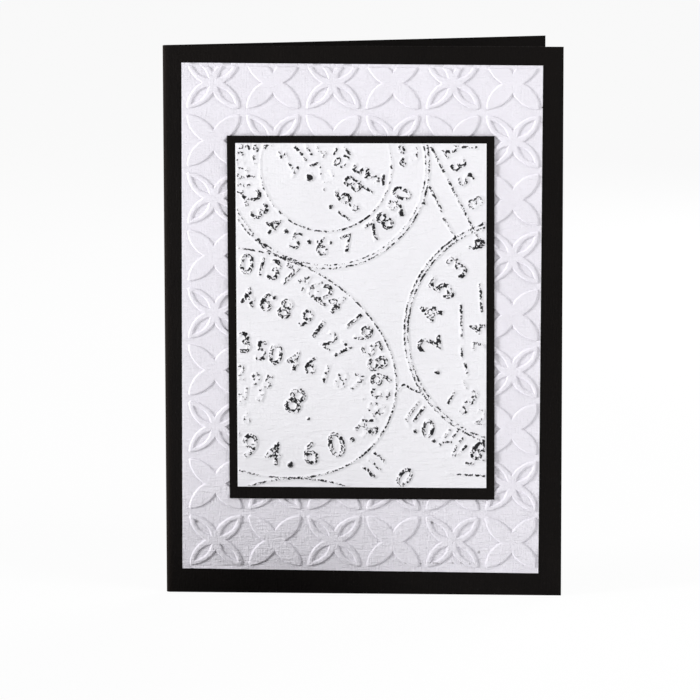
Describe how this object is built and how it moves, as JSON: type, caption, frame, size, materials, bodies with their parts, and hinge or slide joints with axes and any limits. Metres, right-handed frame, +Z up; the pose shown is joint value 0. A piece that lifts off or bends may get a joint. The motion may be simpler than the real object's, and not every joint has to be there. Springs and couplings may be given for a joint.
{
  "type": "greeting card",
  "caption": "Upright folded black card, slightly open, with an embossed white panel, a black mat and a smaller stamped white panel layered on its front.",
  "frame": {"origin": "bottom centre of the card's box, on the surface that its lower edges stand on", "axes": "+Z up the card, +X along the front cover from the fold to the free edge, -Y out of the front cover"},
  "size_m": [0.1142, 0.0384, 0.1587],
  "materials": {
    "black_card": "matte black card, faint fibre",
    "embossed_card": "matte white card, fine linen grain",
    "stamped_card": "matte white card with broken black ink on its raised marks"
  },
  "bodies": {
    "root": {"card_base": "black_card", "embossed_panel": "embossed_card", "mat": "black_card", "stamp_panel": "stamped_card"}
  },
  "joints": []
}
